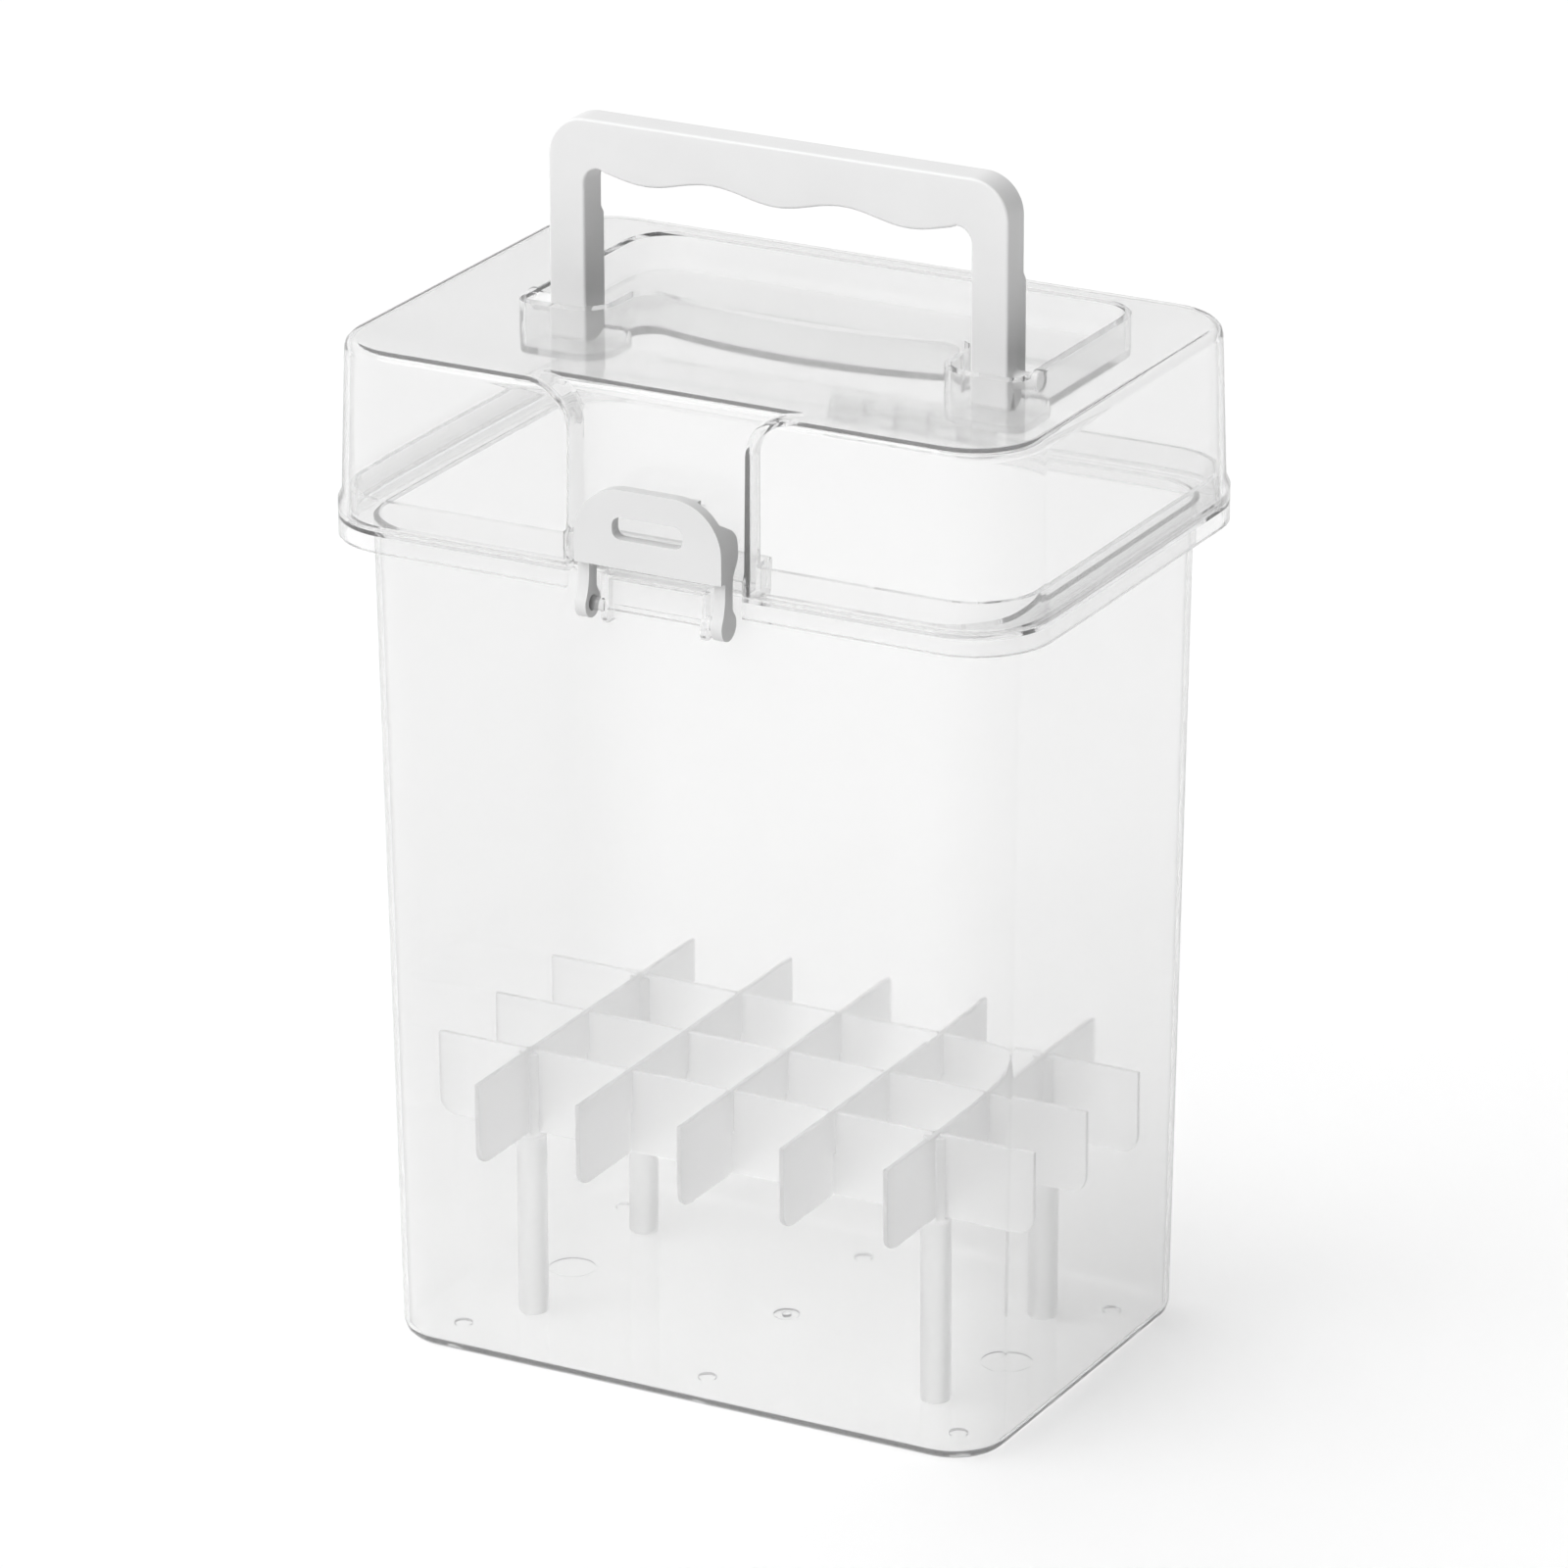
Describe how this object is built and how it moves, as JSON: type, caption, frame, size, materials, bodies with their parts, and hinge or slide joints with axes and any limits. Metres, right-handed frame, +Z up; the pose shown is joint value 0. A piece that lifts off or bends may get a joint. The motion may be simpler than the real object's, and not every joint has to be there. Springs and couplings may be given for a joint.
{
  "type": "parts organizer",
  "caption": "Clear carry case for markers and small parts with a hinged lid, fold-down handle, front latch and a lift-out divider grid.",
  "frame": {"origin": "middle of the bin's flat underside, in the plane that the case stands on", "axes": "+Z up; the latch faces -Y and the lid's hinge is at +Y; +X is to the right as seen from the latch side"},
  "size_m": [0.192, 0.1413, 0.309],
  "materials": {
    "clear_plastic": "clear, polished injection moulding",
    "frosted_plastic": "milky translucent, fine satin",
    "white_plastic": "opaque white, fine satin"
  },
  "bodies": {
    "bin": {"bin": "clear_plastic", "hinge_pin": "white_plastic"},
    "lid": {"lid": "clear_plastic"},
    "handle": {"carry_handle": "white_plastic"},
    "latch": {"front_latch": "white_plastic"},
    "divider_insert": {"long_divider_1": "frosted_plastic", "long_divider_2": "frosted_plastic", "long_divider_3": "frosted_plastic", "cross_divider_1": "frosted_plastic", "cross_divider_2": "frosted_plastic", "cross_divider_3": "frosted_plastic", "cross_divider_4": "frosted_plastic", "cross_divider_5": "frosted_plastic", "divider_post_1": "frosted_plastic", "divider_post_2": "frosted_plastic", "divider_post_3": "frosted_plastic", "divider_post_4": "frosted_plastic"}
  },
  "joints": [
    {"name": "lid_hinge", "type": "hinge", "parent": "bin", "child": "lid", "pos_m": [0, 0.0696, 0.21815], "axis": [-1, 0, 0], "range_deg": [0, 110]},
    {"name": "handle_fold", "type": "hinge", "parent": "lid", "child": "handle", "pos_m": [0, 0, 0.2588], "axis": [-1, 0, 0], "range_deg": [0, 90]},
    {"name": "latch_hinge", "type": "hinge", "parent": "bin", "child": "latch", "pos_m": [0, -0.06515, 0.2097], "axis": [1, 0, 0], "range_deg": [0, 175]},
    {"name": "divider_lift", "type": "slide", "parent": "bin", "child": "divider_insert", "axis": [0, 0, 1], "range_m": [0, 0.14]}
  ]
}
